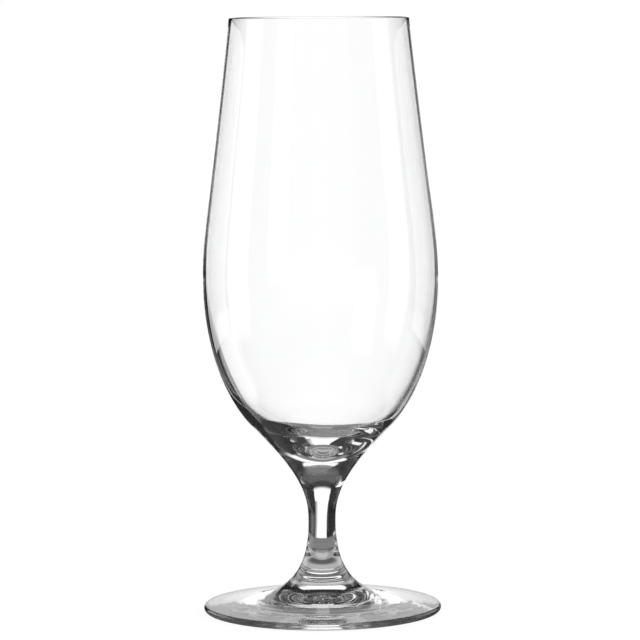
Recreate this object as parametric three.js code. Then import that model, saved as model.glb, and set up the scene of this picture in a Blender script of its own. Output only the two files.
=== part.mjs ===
// Stemmed beer glass: a blown tulip bowl, a short drawn stem and a spun foot, fused end to end.
// Millimetres, +Z up, origin on the table at the centre of the foot.
import * as THREE from "three";

// Heights, stacked from the table up
const FOOT_HEIGHT = 23;
const STEM_LENGTH = 16.5;
const BOWL_HEIGHT = 162.5;

// Bowl, with heights above its joint to the stem
const RIM_RADIUS = 30.5;
const RIM_WALL = 0.9;
const UPPER_WALL = 0.65;
const WALL_LEAN_DEG = 6.3;
const BELLY_RADIUS = 40;
const BELLY_RISE = 75;
const BELLY_WALL = 1;
const SHOULDER_RADIUS = 23.9;
const SHOULDER_RISE = 24.1;
const SHOULDER_SLOPE_DEG = 44;
const HOLLOW_RISE = 28.9;
const HOLLOW_WALL = 3.4;
const HOLLOW_SLOPE_DEG = 48;
const FLOOR_RISE = 15.2;

// Stem, with its waist above the joint to the foot
const WAIST_RADIUS = 4.67;
const WAIST_RISE = 7.2;

// Foot
const FOOT_RADIUS = 40.5;
const EDGE_THICKNESS = 2.3;
const PLATE_SLOPE_DEG = 3;
const RING_WIDTH = 9;
const DOME_RISE = 4.4;

// How full each curve is: the ratio of its handle at each end to the drop or reach that it spans
const WALL_RIM_RATIO = 0.737;
const WALL_BELLY_RATIO = 0.16;
const ROUND_BELLY_RATIO = 0.67;
const ROUND_SHOULDER_RATIO = 0.046;
const TAPER_SHOULDER_RATIO = 0.797;
const TAPER_WAIST_RATIO = 0.214;
const FLARE_WAIST_RATIO = 0.8;
const FLARE_EDGE_RATIO = 0.635;
const SIDE_BELLY_RATIO = 0.3;
const SIDE_HOLLOW_RATIO = 0.325;
const FLOOR_HOLLOW_RATIO = 0.35;
const FLOOR_MIDDLE_RATIO = 0.3;

// Facets: segments round the axis, steps along each stretch of an outline, and the least step at a joint
const SEGMENT_COUNT = 64;
const WALL_COUNT = 8;
const ROUND_COUNT = 12;
const TAPER_COUNT = 12;
const FLARE_COUNT = 16;
const RIM_COUNT = 6;
const FLOOR_COUNT = 9;
const EDGE_COUNT = 8;
const DOME_COUNT = 7;
const LEAST_STEP = 0.3;

const bowlJoint = FOOT_HEIGHT + STEM_LENGTH;
const rimTop = bowlJoint + BOWL_HEIGHT;

const point = (radius, height) => new THREE.Vector2(radius, height);
const along = (angle, length) => point(Math.cos(angle) * length, Math.sin(angle) * length);
const curve = (from, leave, arrive, to) => new THREE.CubicBezierCurve(from, leave, arrive, to);

const rimLean = THREE.MathUtils.degToRad(WALL_LEAN_DEG);
const shoulderSlope = THREE.MathUtils.degToRad(SHOULDER_SLOPE_DEG);
const hollowSlope = THREE.MathUtils.degToRad(HOLLOW_SLOPE_DEG);
const rimCentre = point(RIM_RADIUS - RIM_WALL / 2, rimTop - RIM_WALL / 2);
const belly = point(BELLY_RADIUS, bowlJoint + BELLY_RISE);
const shoulder = point(SHOULDER_RADIUS, bowlJoint + SHOULDER_RISE);
const waist = point(WAIST_RADIUS, FOOT_HEIGHT + WAIST_RISE);
const footEdge = point(FOOT_RADIUS - EDGE_THICKNESS / 2, EDGE_THICKNESS);

// The bowl's wall from the rim down to the belly
function bowlWall() {
  const start = rimCentre.clone().add(along(rimLean, RIM_WALL / 2));
  const drop = start.y - belly.y;
  const leave = start.clone().add(along(rimLean - Math.PI / 2, WALL_RIM_RATIO * drop));
  const arrive = point(belly.x, belly.y + WALL_BELLY_RATIO * drop);
  return curve(start, leave, arrive, belly);
}

// Belly to shoulder, where the bowl's round turns into its taper
function bowlRound() {
  const drop = belly.y - shoulder.y;
  const leave = point(belly.x, belly.y - ROUND_BELLY_RATIO * drop);
  const arrive = shoulder.clone().add(along(shoulderSlope, ROUND_SHOULDER_RATIO * drop));
  return curve(belly, leave, arrive, shoulder);
}

// Shoulder to the stem's waist
function bowlTaper() {
  const drop = shoulder.y - waist.y;
  const leave = shoulder.clone().sub(along(shoulderSlope, TAPER_SHOULDER_RATIO * drop));
  const arrive = point(waist.x, waist.y + TAPER_WAIST_RATIO * drop);
  return curve(shoulder, leave, arrive, waist);
}

// Waist out to the foot's edge, as one sweep
function footFlare() {
  const slope = THREE.MathUtils.degToRad(PLATE_SLOPE_DEG);
  const leave = point(waist.x, waist.y - FLARE_WAIST_RATIO * (waist.y - footEdge.y));
  const reach = FLARE_EDGE_RATIO * (footEdge.x - waist.x);
  const arrive = footEdge.clone().sub(along(-slope, reach));
  return curve(waist, leave, arrive, footEdge);
}

// The inside down to the belly: the outer curve moved in by a wall that is thinnest half way down
function upperInside() {
  const outer = bowlWall();
  return Array.from({ length: WALL_COUNT + 1 }, (_, i) => {
    const share = i / WALL_COUNT;
    const tangent = outer.getTangent(share);
    const inwards = point(tangent.y, -tangent.x);
    const ends = RIM_WALL * (1 - share) * (1 - 2 * share) + BELLY_WALL * share * (2 * share - 1);
    const wall = ends + 4 * UPPER_WALL * share * (1 - share);
    return outer.getPoint(share).addScaledVector(inwards, wall);
  });
}

// Belly to hollow on the inside, as the wall grows thick
function lowerInside() {
  const start = point(belly.x - BELLY_WALL, belly.y);
  const drop = start.y - hollow.y;
  const leave = point(start.x, start.y - SIDE_BELLY_RATIO * drop);
  const arrive = hollow.clone().add(along(hollowSlope, SIDE_HOLLOW_RATIO * drop));
  return curve(start, leave, arrive, hollow);
}

// The inside's floor, from the hollow to the middle
function bowlFloor() {
  const middle = point(0, bowlJoint + FLOOR_RISE);
  const leave = hollow.clone().sub(along(hollowSlope, FLOOR_HOLLOW_RATIO * (hollow.y - middle.y)));
  const arrive = point(FLOOR_MIDDLE_RATIO * hollow.x, middle.y);
  return curve(hollow, leave, arrive, middle);
}

// Points round part of a circle
function arc(centre, radius, from, to, steps) {
  const angles = Array.from({ length: steps + 1 }, (_, i) => from + ((to - from) * i) / steps);
  return angles.map((angle) => centre.clone().add(along(angle, radius)));
}

// Where an outline that runs downwards crosses a height
function crossing(outline, height) {
  const next = outline.findIndex((p) => p.y <= height);
  const [above, below] = [outline[next - 1], outline[next]];
  return above.clone().lerp(below, (above.y - height) / (above.y - below.y));
}

// The points of an outline strictly between two heights
function between(outline, top, bottom) {
  return outline.filter((p) => p.y < top - LEAST_STEP && p.y > bottom + LEAST_STEP);
}

// The outside of the whole glass, from the rim to the foot's edge
const outside = [
  ...bowlWall().getPoints(WALL_COUNT),
  ...bowlRound().getPoints(ROUND_COUNT).slice(1),
  ...bowlTaper().getPoints(TAPER_COUNT).slice(1),
  ...footFlare().getPoints(FLARE_COUNT).slice(1),
];
const bowlSeam = crossing(outside, bowlJoint);
const footSeam = crossing(outside, FOOT_HEIGHT);
const hollow = crossing(outside, bowlJoint + HOLLOW_RISE).sub(point(HOLLOW_WALL, 0));

// Half sections run from the axis, out and up round the solid, and back to the axis
function bowlSection() {
  const outer = outside.filter((p) => p.y > bowlJoint + LEAST_STEP).reverse();
  const rim = arc(rimCentre, RIM_WALL / 2, rimLean, rimLean + Math.PI, RIM_COUNT).slice(1, -1);
  const side = lowerInside().getPoints(ROUND_COUNT).slice(1);
  const floor = bowlFloor().getPoints(FLOOR_COUNT).slice(1);
  return [point(0, bowlJoint), bowlSeam, ...outer, ...rim, ...upperInside(), ...side, ...floor];
}

function stemSection() {
  const side = between(outside, bowlJoint, FOOT_HEIGHT).reverse();
  return [point(0, FOOT_HEIGHT), footSeam, ...side, bowlSeam, point(0, bowlJoint)];
}

function footSection() {
  const ringRadius = footEdge.x - RING_WIDTH;
  const dome = Array.from({ length: DOME_COUNT + 1 }, (_, i) => {
    const share = i / DOME_COUNT;
    return point(ringRadius * share, DOME_RISE * (1 - share * share) ** 2);
  });
  const edgeCentre = point(footEdge.x, EDGE_THICKNESS / 2);
  const edge = arc(edgeCentre, EDGE_THICKNESS / 2, -Math.PI / 2, Math.PI / 2, EDGE_COUNT);
  const top = outside.filter((p) => p.y < FOOT_HEIGHT - LEAST_STEP).reverse();
  return [...dome, ...edge, ...top.slice(1), footSeam, point(0, FOOT_HEIGHT)];
}

// A solid of glass turned from its half section
function turned(name, section, colour) {
  const geometry = new THREE.LatheGeometry(section, SEGMENT_COUNT).rotateX(Math.PI / 2);
  const glass = new THREE.MeshStandardMaterial({
    color: colour,
    roughness: 0.03,
    metalness: 0,
    transparent: true,
    opacity: 0.35,
  });
  const mesh = new THREE.Mesh(geometry, glass);
  mesh.name = name;
  return mesh;
}

const beerGlass = new THREE.Group();
beerGlass.add(
  turned("bowl", bowlSection(), 0xf4f7f7),
  turned("stem", stemSection(), 0xf0f4f4),
  turned("foot", footSection(), 0xf2f5f5),
);

export default beerGlass;
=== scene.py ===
import math

import bmesh
import bpy
from mathutils import Euler, Matrix, Vector


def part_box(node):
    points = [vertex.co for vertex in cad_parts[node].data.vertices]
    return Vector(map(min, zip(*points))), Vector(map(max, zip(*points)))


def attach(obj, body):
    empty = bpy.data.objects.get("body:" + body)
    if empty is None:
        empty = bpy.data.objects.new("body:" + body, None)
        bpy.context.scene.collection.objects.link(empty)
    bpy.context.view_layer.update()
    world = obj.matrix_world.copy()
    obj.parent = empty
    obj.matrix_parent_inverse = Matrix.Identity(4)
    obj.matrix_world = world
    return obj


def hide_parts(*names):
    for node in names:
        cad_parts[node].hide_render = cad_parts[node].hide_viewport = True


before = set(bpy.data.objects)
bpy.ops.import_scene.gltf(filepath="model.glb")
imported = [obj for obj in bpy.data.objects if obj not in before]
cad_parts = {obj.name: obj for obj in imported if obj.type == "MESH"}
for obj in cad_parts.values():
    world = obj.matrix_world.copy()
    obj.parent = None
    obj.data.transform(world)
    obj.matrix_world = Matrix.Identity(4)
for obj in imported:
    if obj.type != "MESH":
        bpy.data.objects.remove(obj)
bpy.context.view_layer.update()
bowlLow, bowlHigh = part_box("bowl")
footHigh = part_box("foot")[1]
print("frame loaded:", ", ".join(sorted(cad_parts)))

lightBounces = {"all": 32, "glossy": 24, "transparent": 16}  # light turns many times inside thick glass

scene = bpy.context.scene
scene.view_settings.view_transform = "Standard"
scene.cycles.max_bounces = scene.cycles.transmission_bounces = lightBounces["all"]
scene.cycles.glossy_bounces = lightBounces["glossy"]
scene.cycles.transparent_max_bounces = lightBounces["transparent"]


# Half sections are lists of (radius, height) vectors, in metres
def heading(degrees, length):
    return Vector((math.cos(math.radians(degrees)), math.sin(math.radians(degrees)))) * length


def bend(start, leave, arrive, end, steps):
    points = []
    for i in range(steps + 1):
        s = i / steps
        t = 1 - s
        points.append(start * t**3 + leave * 3 * t * t * s + arrive * 3 * t * s * s + end * s**3)
    return points


def arc(centre, radius, fromDegrees, toDegrees, steps):
    turn = (toDegrees - fromDegrees) / steps
    return [centre + heading(fromDegrees + turn * i, radius) for i in range(steps + 1)]


# Where an outline that runs downwards comes to a height
def crossing(outline, height):
    for above, below in zip(outline, outline[1:]):
        if below.y <= height:
            return above.lerp(below, (above.y - height) / (above.y - below.y))


# The points between two heights, and clear of both
def stretch(outline, top, bottom, gap=0.0002):
    return [p for p in outline if bottom + gap < p.y < top - gap]


bowlShape = {
    "rimRadius": 0.0305,
    "rimWall": 0.0009,
    "upperWall": 0.00065,  # half way down to the belly
    "wallLean": 6.3,  # degrees off upright at the rim
    "bellyRise": 0.075,  # above the joint to the stem, as the other rises
    "bellyWall": 0.001,
    "shoulderRadius": 0.0239,
    "shoulderRise": 0.0241,
    "shoulderSlope": 44,  # degrees
    "hollowRise": 0.0289,  # where the inside turns from wall to floor
    "hollowWall": 0.0034,
    "hollowSlope": 48,
    "floorRise": 0.0152,
    "wallHandles": (0.737, 0.16),  # how full each curve is at its two ends
    "roundHandles": (0.67, 0.046),
    "sideHandles": (0.3, 0.325),
    "floorHandles": (0.35, 0.3),
    "steps": 48,
    "rimSteps": 12,
}
stemShape = {
    "waistRadius": 0.00467,
    "waistRise": 0.0072,  # above the joint to the foot
    "taperHandles": (0.797, 0.214),
    "steps": 96,
}
footShape = {
    "edgeThickness": 0.0023,
    "plateSlope": 3,  # degrees
    "ringWidth": 0.009,
    "domeRise": 0.0044,
    "flareHandles": (0.8, 0.635),
    "steps": 180,
    "domeSteps": 40,
    "ringSteps": 8,
    "edgeSteps": 16,
}

bowlJoint, footJoint = bowlLow.z, footHigh.z
rimRound, edgeRound = bowlShape["rimWall"] / 2, footShape["edgeThickness"] / 2
rimCentre = Vector((bowlShape["rimRadius"] - rimRound, bowlHigh.z - rimRound))
belly = Vector((bowlHigh.x, bowlJoint + bowlShape["bellyRise"]))
shoulder = Vector((bowlShape["shoulderRadius"], bowlJoint + bowlShape["shoulderRise"]))
waist = Vector((stemShape["waistRadius"], footJoint + stemShape["waistRise"]))
footEdge = Vector((footHigh.x - edgeRound, footShape["edgeThickness"]))


def bowlWall():
    start = rimCentre + heading(bowlShape["wallLean"], rimRound)
    drop = start.y - belly.y
    atRim, atBelly = bowlShape["wallHandles"]
    leave = start + heading(bowlShape["wallLean"] - 90, atRim * drop)
    return bend(start, leave, belly + Vector((0, atBelly * drop)), belly, bowlShape["steps"])


def bowlRound():
    drop = belly.y - shoulder.y
    atBelly, atShoulder = bowlShape["roundHandles"]
    arrive = shoulder + heading(bowlShape["shoulderSlope"], atShoulder * drop)
    return bend(belly, belly - Vector((0, atBelly * drop)), arrive, shoulder, bowlShape["steps"])


def bowlTaper():
    drop = shoulder.y - waist.y
    atShoulder, atWaist = stemShape["taperHandles"]
    leave = shoulder - heading(bowlShape["shoulderSlope"], atShoulder * drop)
    return bend(shoulder, leave, waist + Vector((0, atWaist * drop)), waist, stemShape["steps"])


def footFlare():
    drop, reach = waist.y - footEdge.y, footEdge.x - waist.x
    atWaist, atEdge = footShape["flareHandles"]
    arrive = footEdge - heading(-footShape["plateSlope"], atEdge * reach)
    return bend(waist, waist - Vector((0, atWaist * drop)), arrive, footEdge, footShape["steps"])


# What the making leaves on the outside: a slight swelling at each joint,
# and shallow rings from spinning the foot
makingMarks = {
    "seamHeight": 0.00005,
    "seamWidth": 0.0006,
    "ringHeight": 0.000007,
    "ringSpacings": (0.0026, 0.0041),
    "ringReach": (0.012, 0.038),
    "ringFade": 0.004,
}


def marked(p):
    seamWidth, ringFade = makingMarks["seamWidth"], makingMarks["ringFade"]
    swelling = sum(math.exp(-(((p.y - z) / seamWidth) ** 2)) for z in (bowlJoint, footJoint))
    inner, outer = makingMarks["ringReach"]
    depth = 0
    if p.y < footJoint and inner < p.x < outer:
        depth = min(1, (p.x - inner) / ringFade, (outer - p.x) / ringFade)
    rings = depth * sum(math.sin(2 * math.pi * p.x / gap) for gap in makingMarks["ringSpacings"])
    return p + Vector((makingMarks["seamHeight"] * swelling, makingMarks["ringHeight"] * rings))


outside = [marked(p) for p in bowlWall() + bowlRound()[1:] + bowlTaper()[1:] + footFlare()[1:]]
bowlSeam = crossing(outside, bowlJoint)
footSeam = crossing(outside, footJoint)
hollow = crossing(outside, bowlJoint + bowlShape["hollowRise"]) - Vector((bowlShape["hollowWall"], 0))


# The inside down to the belly: the outer wall moved in, thinnest half way down
def upperInside():
    outer = bowlWall()
    last = len(outer) - 1
    inside = []
    for i, p in enumerate(outer):
        s = i / last
        along = (outer[min(i + 1, last)] - outer[max(i - 1, 0)]).normalized()
        ends = bowlShape["rimWall"] * (1 - s) * (1 - 2 * s) + bowlShape["bellyWall"] * s * (2 * s - 1)
        wall = ends + 4 * bowlShape["upperWall"] * s * (1 - s)  # a parabola through the three walls
        inside.append(p + Vector((along.y, -along.x)) * wall)
    return inside


# Belly to hollow, as the wall grows thick, and on to the middle of the floor
def lowerInside():
    start = belly - Vector((bowlShape["bellyWall"], 0))
    drop = start.y - hollow.y
    atBelly, atHollow = bowlShape["sideHandles"]
    arrive = hollow + heading(bowlShape["hollowSlope"], atHollow * drop)
    side = bend(start, start - Vector((0, atBelly * drop)), arrive, hollow, bowlShape["steps"])
    middle = Vector((0, bowlJoint + bowlShape["floorRise"]))
    atHollow, atMiddle = bowlShape["floorHandles"]
    leave = hollow - heading(bowlShape["hollowSlope"], atHollow * (hollow.y - middle.y))
    arrive = Vector((atMiddle * hollow.x, middle.y))
    return side + bend(hollow, leave, arrive, middle, bowlShape["steps"])[1:]


def bowlSection():
    outer = stretch(outside, bowlHigh.z, bowlJoint)[::-1]
    lean = bowlShape["wallLean"]
    rim = arc(rimCentre, rimRound, lean, lean + 180, bowlShape["rimSteps"])[1:-1]
    return [Vector((0, bowlJoint)), bowlSeam] + outer + rim + upperInside() + lowerInside()[1:]


def stemSection():
    side = stretch(outside, bowlJoint, footJoint)[::-1]
    return [Vector((0, footJoint)), footSeam] + side + [bowlSeam, Vector((0, bowlJoint))]


def footSection():
    domeSteps, ringSteps, width = footShape["domeSteps"], footShape["ringSteps"], footShape["ringWidth"]
    ringRadius = footEdge.x - width
    dome = []
    for i in range(domeSteps + 1):
        s = i / domeSteps
        dome.append(Vector((ringRadius * s, footShape["domeRise"] * (1 - s * s) ** 2)))
    ring = [Vector((ringRadius + width * i / ringSteps, 0)) for i in range(1, ringSteps)]
    edge = arc(Vector((footEdge.x, edgeRound)), edgeRound, -90, 90, footShape["edgeSteps"])
    top = stretch(outside, footJoint, 0)[::-1]
    return dome + ring + edge + top[1:] + [footSeam, Vector((0, footJoint))]


# Blown by hand, the inside's floor lies lower on the right: degrees,
# and the heights over the joint between which that fades out
blownFloor = {"lean": 1.6, "fade": (0.02, 0.036)}


def floorLean(p):
    low, high = (bowlJoint + rise for rise in blownFloor["fade"])
    if p.y > high or p.y < bowlJoint + bowlShape["floorRise"] / 2:
        return 0
    if p.x > crossing(outside, p.y).x - bowlShape["upperWall"] / 2:
        return 0  # on the outside
    share = min(1, (high - p.y) / (high - low))
    return math.tan(math.radians(blownFloor["lean"])) * share * share * (3 - 2 * share)


# Node helpers, for the glass and the studio
def feed(tree, socket, value):
    if isinstance(value, bpy.types.NodeSocket):
        tree.links.new(value, socket)
    else:
        socket.default_value = value


def linked(tree, kind, ins, out=0):
    node = tree.nodes.new(kind)
    for name, value in ins.items():
        feed(tree, node.inputs[name], value)
    return node.outputs[out]


def joined(tree, operation, *values):
    node = tree.nodes.new("ShaderNodeMath")
    node.operation = operation
    for socket, value in zip(node.inputs, values):
        feed(tree, socket, value)
    return node.outputs[0]


def mixed(tree, share, a, b):
    return linked(tree, "ShaderNodeMix", {"Factor": share, "A": a, "B": b}, "Result")


# 0 to 1 across a soft edge, or 1 to 0 where it falls; its softness is in the value's own unit
def softEdge(tree, value, edge, soft, falling=False):
    start, end = (1, 0) if falling else (0, 1)
    reach = {"From Min": edge - soft / 2, "From Max": edge + soft / 2, "To Min": start, "To Max": end}
    result = linked(tree, "ShaderNodeMapRange", {"Value": value, **reach}, "Result")
    result.node.interpolation_type = "SMOOTHSTEP"
    return result


def noise(tree, place, size, detail):
    return linked(tree, "ShaderNodeTexNoise", {"Vector": place, "Scale": 1 / size, "Detail": detail})


# The kinds of ray, and whether this one comes off or through the glass
def rayKinds(tree):
    kinds = tree.nodes.new("ShaderNodeLightPath").outputs
    return kinds, joined(tree, "MAXIMUM", kinds["Is Glossy Ray"], kinds["Is Transmission Ray"])


white, black = (1, 1, 1, 1), (0, 0, 0, 1)


def newMaterial(name):
    material = bpy.data.materials.new(name)
    material.use_nodes = True
    return material, material.node_tree.nodes["Principled BSDF"]


# One clear melt, with a faint waviness and a film of wiped water marks on each piece. Sizes are in metres,
# and drawn says how far the waves are pulled upright
clearMelt = {
    "colour": (0.997, 0.999, 0.999, 1),
    "index": 1.52,
    "waveDetail": 1,
    "filmDetail": 4,
    "filmShare": 0.62,
    "filmSoft": 0.16,
}
blownGlass = {"wave": 0.022, "drawn": 3.5, "depth": 0.00003, "marks": 0.004, "film": 0.012}
drawnGlass = {"wave": 0.0025, "drawn": 12, "depth": 0.000004, "marks": 0.003, "film": 0.01}
spunGlass = {"wave": 0.009, "drawn": 1, "depth": 0.000008, "marks": 0.005, "film": 0.014}

# Scuffs on the ring that the foot stands on
restingWear = {"scuff": 0.0012, "detail": 3, "share": 0.62, "soft": 0.08, "rough": 0.12, "height": 0.0003}


def clearGlass(name, finish, wear=None):
    material, shader = newMaterial(name)
    tree = material.node_tree
    shader.inputs["Base Color"].default_value = clearMelt["colour"]
    shader.inputs["Transmission Weight"].default_value = 1
    shader.inputs["IOR"].default_value = clearMelt["index"]
    place = tree.nodes.new("ShaderNodeTexCoord").outputs["Object"]
    pulled = linked(tree, "ShaderNodeMapping", {"Vector": place, "Scale": (1, 1, 1 / finish["drawn"])})
    wave = noise(tree, pulled, finish["wave"], clearMelt["waveDetail"])
    bump = linked(tree, "ShaderNodeBump", {"Height": wave, "Distance": finish["depth"], "Strength": 1})
    tree.links.new(bump, shader.inputs["Normal"])
    film = noise(tree, place, finish["marks"], clearMelt["filmDetail"])
    film = softEdge(tree, film, clearMelt["filmShare"], clearMelt["filmSoft"])
    rough = joined(tree, "MULTIPLY", film, finish["film"])
    if wear:
        scuffs = noise(tree, place, wear["scuff"], wear["detail"])
        scuffs = softEdge(tree, scuffs, wear["share"], wear["soft"])
        worn = joined(tree, "MULTIPLY", scuffs, wear["rough"])
        height = linked(tree, "ShaderNodeSeparateXYZ", {"Vector": place}, "Z")
        onRing = softEdge(tree, height, wear["height"], wear["height"], falling=True)
        rough = joined(tree, "MAXIMUM", rough, joined(tree, "MULTIPLY", worn, onRing))
    tree.links.new(rough, shader.inputs["Roughness"])
    return material


# See-through, because the real pieces are fused and no face shows between them
def fusedGlass():
    material, shader = newMaterial("fusedJoint")
    shader.inputs["Alpha"].default_value = 0
    return material


fusedJoint = fusedGlass()

turning = {
    "segments": 288,
    "axisReach": 0.000001,  # a point nearer than this is on the axis
    "sharpAngle": 35,  # degrees
}


# Turns a half section about the axis. The spans that close a joint take the fused material
def turnedGlass(name, section, glass, fusedSpans, lean=None):
    segments = turning["segments"]
    bm = bmesh.new()
    rings = []
    for p in section:
        drop = lean(p) if lean else 0
        ring = []
        for k in range(1 if p.x < turning["axisReach"] else segments):
            angle = 2 * math.pi * k / segments
            x, y = p.x * math.cos(angle), p.x * math.sin(angle)
            ring.append(bm.verts.new((x, y, p.y - drop * x)))
        rings.append(ring)
    for span, (lower, upper) in enumerate(zip(rings, rings[1:])):
        for k in range(segments):
            corners = [lower[k % len(lower)], lower[(k + 1) % len(lower)]]
            corners += [upper[(k + 1) % len(upper)], upper[k % len(upper)]]
            face = bm.faces.new(list(dict.fromkeys(corners)))
            face.smooth = True
            face.material_index = 1 if span in fusedSpans else 0
    bmesh.ops.recalc_face_normals(bm, faces=bm.faces)
    mesh = bpy.data.meshes.new(name)
    bm.to_mesh(mesh)
    bm.free()
    mesh.set_sharp_from_angle(angle=math.radians(turning["sharpAngle"]))
    mesh.materials.append(glass)
    mesh.materials.append(fusedJoint)
    piece = bpy.data.objects.new(name, mesh)
    scene.collection.objects.link(piece)
    return piece


# A span lies between two points of a section
def lastSpan(section):
    return len(section) - 2


bowlHalf, stemHalf, footHalf = bowlSection(), stemSection(), footSection()
blown, drawn = clearGlass("blownGlass", blownGlass), clearGlass("drawnGlass", drawnGlass)
spun = clearGlass("spunGlass", spunGlass, restingWear)
bowl = turnedGlass("bowlGlass", bowlHalf, blown, {0}, floorLean)
stem = turnedGlass("stemGlass", stemHalf, drawn, {0, lastSpan(stemHalf)})
foot = turnedGlass("footGlass", footHalf, spun, {lastSpan(footHalf)})
for piece, node in ((bowl, "bowl"), (stem, "stem"), (foot, "foot")):
    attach(piece, "root")
    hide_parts(node)
print("glass turned:", sum(len(p.data.polygons) for p in (bowl, stem, foot)), "faces")


# The light tent as the glass sees it, a dark room with lit panels. Each has degrees round from straight
# ahead of the camera, degrees above the horizon and how soft its edges are (left, right, low, high).
# A slant moves it round by so many degrees for each degree down
studio = {
    "room": 0.02,
    "day": 0.9,  # light on everything but glass
    "panels": {
        "back": {"round": (-12.4, 12), "rise": (-60, 27), "soft": (2, 2, 3, 8), "light": 1.16},
        "backHigh": {"round": (-16, 18), "rise": (8, 27), "soft": (2, 4, 6, 8), "light": 1.16},
        "backWing": {
            "round": (-15.5, 15),
            "slant": 0.2,
            "rise": (-24, 27),
            "soft": (3, 16, 8, 8),
            "light": 1.16,
            "mirrored": False,  # shows through the glass alone
        },
        "backLow": {"round": (-13, 16), "rise": (-60, -6), "soft": (2, 6, 3, 14), "light": 1.16},
        "backRight": {"round": (14, 48), "rise": (-16, -4), "soft": (4, 26, 8, 10), "light": 0.1},
        "lowLeft": {"round": (-80, -42), "rise": (-42, -15.5), "soft": (6, 3, 6, 3), "light": 0.95},
        "lowRight": {"round": (40, 80), "rise": (-42, -17), "soft": (3, 6, 6, 3), "light": 0.6},
        "left": {"round": (-104, -76), "rise": (-20, 14), "soft": (3, 3, 4, 6), "light": 1.1},
        "rear": {"round": (124, 146), "rise": (-30, -4), "soft": (3, 3, 4, 4), "light": 1.1},
        "behind": {"round": (150, 220), "rise": (-20, 5), "soft": (10, 20, 4, 6), "light": 0.2},
        "behindHigh": {"round": (140, 220), "rise": (35, 65), "soft": (20, 20, 10, 10), "light": 0.25},
        "overhead": {"round": (-180, 180), "rise": (45, 90), "soft": (1, 1, 10, 1), "light": 0.1},
        "table": {"round": (-180, 180), "rise": (-90, -18), "soft": (1, 1, 1, 4), "light": 0.04},
    },
}
fullTurn = 360


def panelLight(tree, turned, raised, panel):
    left, right = panel["round"]
    low, high = panel["rise"]
    softLeft, softRight, softLow, softHigh = panel["soft"]
    seen = softEdge(tree, raised, low, softLow)
    seen = joined(tree, "MULTIPLY", seen, softEdge(tree, raised, high, softHigh, falling=True))
    if right - left < fullTurn:
        middle, half = (left + right) / 2, (right - left) / 2
        if "slant" in panel:
            middle = joined(tree, "SUBTRACT", middle, joined(tree, "MULTIPLY", raised, panel["slant"]))
        off = joined(tree, "WRAP", joined(tree, "SUBTRACT", turned, middle), fullTurn / 2, -fullTurn / 2)
        seen = joined(tree, "MULTIPLY", seen, softEdge(tree, off, -half, softLeft))
        seen = joined(tree, "MULTIPLY", seen, softEdge(tree, off, half, softRight, falling=True))
    return joined(tree, "MULTIPLY", seen, panel["light"])


def lightTent():
    world = bpy.data.worlds.new("lightTent")
    world.use_nodes = True
    scene.world = world
    tree = world.node_tree
    way = tree.nodes.new("ShaderNodeSeparateXYZ")
    tree.links.new(tree.nodes.new("ShaderNodeTexCoord").outputs["Generated"], way.inputs[0])
    x, y, z = way.outputs
    turned = joined(tree, "DEGREES", joined(tree, "ARCTAN2", x, y))
    raised = joined(tree, "DEGREES", joined(tree, "ARCSINE", z))
    kinds, throughGlass = rayKinds(tree)
    tent = studio["room"]
    for panel in studio["panels"].values():
        light = panelLight(tree, turned, raised, panel)
        if not panel.get("mirrored", True):
            light = joined(tree, "MULTIPLY", light, kinds["Is Transmission Ray"])
        tent = joined(tree, "MAXIMUM", light, tent)
    light = mixed(tree, throughGlass, studio["day"], tent)
    light = mixed(tree, kinds["Is Camera Ray"], light, 1)  # plain white behind the glass
    background = tree.nodes["Background"]
    background.inputs["Color"].default_value = white
    tree.links.new(light, background.inputs["Strength"])


lightTent()

# Lit boards beside the glass, which show only as reflections: degrees round, distance, heights and light
sideBoards = {
    "left": {"round": (-38, -80), "away": 0.3, "rise": (0.02, 0.225), "light": 1.6},
    "right": {"round": (38, 80), "away": 0.3, "rise": (0.02, 0.225), "light": 1.2},
}


def sideBoard(name, board):
    turns = [math.radians(a) for a in board["round"]]
    near, far = (Vector((math.sin(a), math.cos(a), 0)) * board["away"] for a in turns)
    low, high = (Vector((0, 0, z)) for z in board["rise"])
    mesh = bpy.data.meshes.new(name)
    mesh.from_pydata([near + low, far + low, far + high, near + high], [], [(0, 1, 2, 3)])
    material, shader = newMaterial(name)
    shader.inputs["Base Color"].default_value = black
    shader.inputs["Specular IOR Level"].default_value = 0
    shader.inputs["Emission Color"].default_value = white
    shader.inputs["Emission Strength"].default_value = board["light"]
    mesh.materials.append(material)
    piece = bpy.data.objects.new(name, mesh)
    piece.visible_camera = piece.visible_diffuse = False
    piece.visible_transmission = piece.visible_shadow = False
    scene.collection.objects.link(piece)


for side, board in sideBoards.items():
    sideBoard(side + "Board", board)

# The table is white to the camera. Through the glass it glows with painted light, as if a polished table
# in a dark room:
# greyer at a low angle as a painted reflection of the dark room, with a painted shadow under the stem
# and the foot's painted shadow round the edge. Reaches are from the axis, in metres
tableTop = {
    "size": 30,
    "drop": 0.0002,
    "glow": 0.92,  # to the camera
    "paint": 0.1,  # where the glass casts its shadow
    # The painted polish: a Fresnel share that greys the painted glow at a low angle, a painted reflection
    # of the dark room
    "paintedPolish": 1.5,  # refractive index
    # Painted light on the table near by: a painted shadow under the stem, a painted glow under the foot, a
    # painted shadow ring round the foot and a painted glow close by
    "paintedStemShadow": 0.12,
    "paintedGlowUnderFoot": 0.5,
    "shadow": 0.16,
    "paintedGlowCloseBy": 0.26,
    "stemReach": 0.009,
    "stemSoft": 0.005,
    "shadowReach": (0.035, 0.05),
    "shadowSoft": (0.006, 0.008),
    "closeReach": 0.086,
    "closeSoft": 0.012,
}


# What the glass sees of the table near by, all painted light: painted shadows of the stem and foot, and a
# painted glow
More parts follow.
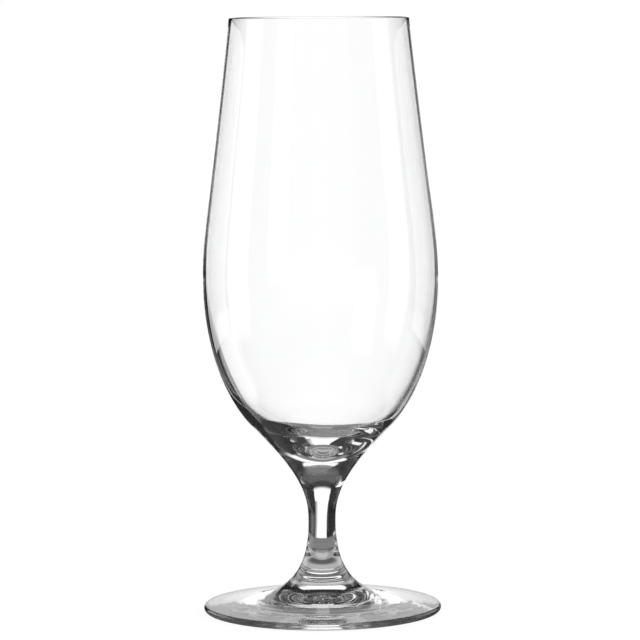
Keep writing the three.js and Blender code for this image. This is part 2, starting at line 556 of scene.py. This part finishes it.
def paintedTableGlow(tree, away):
    pastStem = softEdge(tree, away, tableTop["stemReach"], tableTop["stemSoft"])
    shadowEnds = zip(tableTop["shadowReach"], tableTop["shadowSoft"])
    inShadow, pastShadow = (softEdge(tree, away, reach, soft) for reach, soft in shadowEnds)
    near = mixed(tree, pastStem, tableTop["paintedStemShadow"], tableTop["paintedGlowUnderFoot"])
    near = mixed(tree, inShadow, near, tableTop["shadow"])
    near = mixed(tree, pastShadow, near, tableTop["paintedGlowCloseBy"])
    # A painted reflection of the dark room: the painted glow made greyer at a low angle by a Fresnel share
    paintedPolish = linked(tree, "ShaderNodeFresnel", {"IOR": tableTop["paintedPolish"]})
    return joined(tree, "MULTIPLY", near, joined(tree, "SUBTRACT", 1, paintedPolish))


def tablePaint():
    material, shader = newMaterial("whiteTable")
    tree = material.node_tree
    shader.inputs["Roughness"].default_value = 1
    shader.inputs["Specular IOR Level"].default_value = 0
    shader.inputs["Emission Color"].default_value = white
    kinds, throughGlass = rayKinds(tree)
    paint = mixed(tree, throughGlass, tableTop["paint"], 0)
    tree.links.new(paint, shader.inputs["Base Color"])
    flat = tree.nodes.new("ShaderNodeVectorMath")
    flat.operation = "LENGTH"
    tree.links.new(tree.nodes.new("ShaderNodeTexCoord").outputs["Object"], flat.inputs[0])
    away = flat.outputs["Value"]
    toCamera = joined(tree, "MULTIPLY", kinds["Is Camera Ray"], tableTop["glow"])
    # White glow to the camera; through the glass, the table's painted glow and painted shadows
    glow = mixed(tree, throughGlass, toCamera, paintedTableGlow(tree, away))
    tree.links.new(glow, shader.inputs["Emission Strength"])
    beyond = softEdge(tree, away, tableTop["closeReach"], tableTop["closeSoft"])
    openTable = tree.nodes.new("ShaderNodeMixShader")  # the tent takes over past the table close by
    tree.links.new(joined(tree, "MULTIPLY", beyond, throughGlass), openTable.inputs[0])
    tree.links.new(shader.outputs[0], openTable.inputs[1])
    tree.links.new(tree.nodes.new("ShaderNodeBsdfTransparent").outputs[0], openTable.inputs[2])
    tree.links.new(openTable.outputs[0], tree.nodes["Material Output"].inputs["Surface"])
    return material


def whiteTable():
    mesh = bpy.data.meshes.new("tableTop")
    bm = bmesh.new()
    bmesh.ops.create_grid(bm, x_segments=1, y_segments=1, size=tableTop["size"])
    bm.to_mesh(mesh)
    bm.free()
    mesh.materials.append(tablePaint())
    table = bpy.data.objects.new("tableTop", mesh)
    table.location.z = -tableTop["drop"]
    scene.collection.objects.link(table)


whiteTable()
print("studio set")

photoCamera = {
    "place": (0, -1.1799, 0.2123),
    "pitch": 5.46,  # degrees down
    "roll": -0.371,
    "lens": 196.3,  # millimetres, as the sensor
    "sensor": 36,
    "shift": (-0.0012, 0),
    "farClip": 100,
}


def takePhoto():
    camera = bpy.data.objects.new("photoCamera", bpy.data.cameras.new("photoCamera"))
    tilt = Euler((math.radians(90 - photoCamera["pitch"]), 0, 0)).to_matrix().to_4x4()
    roll = Matrix.Rotation(math.radians(photoCamera["roll"]), 4, "Z")
    camera.matrix_world = Matrix.Translation(photoCamera["place"]) @ tilt @ roll
    camera.data.lens = photoCamera["lens"]
    camera.data.sensor_width = photoCamera["sensor"]
    camera.data.shift_x, camera.data.shift_y = photoCamera["shift"]
    camera.data.clip_end = photoCamera["farClip"]
    scene.collection.objects.link(camera)
    scene.camera = camera


takePhoto()
